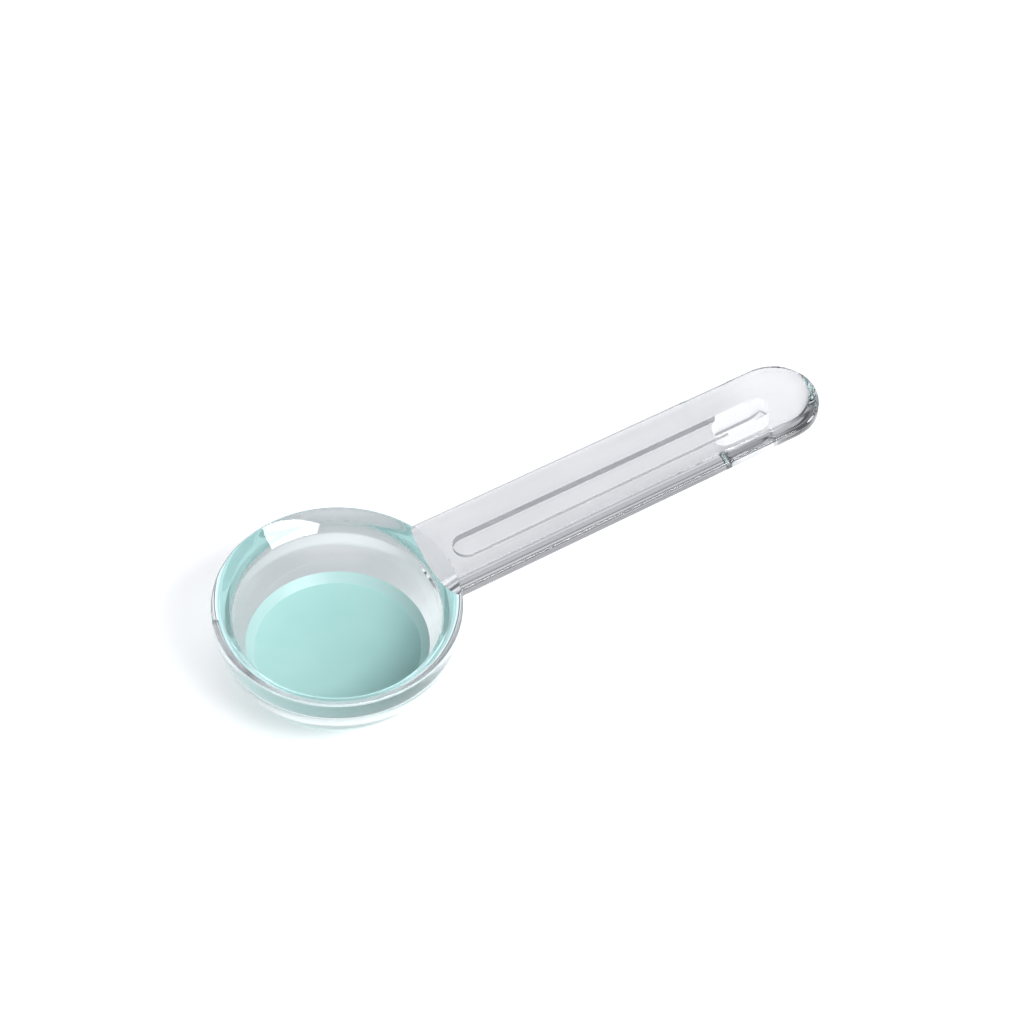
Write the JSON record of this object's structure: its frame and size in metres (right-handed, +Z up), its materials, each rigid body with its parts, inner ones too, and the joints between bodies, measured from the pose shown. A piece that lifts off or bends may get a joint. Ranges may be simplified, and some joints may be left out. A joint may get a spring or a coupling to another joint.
{
  "type": "fuel sampler cup",
  "caption": "Clear hand-held sampling scoop: half-ball cup with bevelled lip, teal dished sight disc in its floor, flat-topped bar handle with thumb channel and hanging slot.",
  "frame": {"origin": "centre of the small flat foot under the cup, on the cup's axis", "axes": "+Z up along the cup's axis, +X from the cup along the handle, +Y to the left seen from the cup"},
  "size_m": [0.1354, 0.05, 0.0237],
  "materials": {
    "clear_acrylic": "polished clear acrylic, faint cool tint",
    "clear_acrylic_handle": "polished clear acrylic, faint cool tint",
    "teal_acrylic": "see-through teal acrylic, polished",
    "pale_teal_acrylic": "see-through pale teal acrylic, polished"
  },
  "bodies": {
    "root": {"cup_body": "clear_acrylic", "handle": "clear_acrylic_handle", "sight_disc": "teal_acrylic", "disc_ring": "pale_teal_acrylic"}
  },
  "joints": []
}
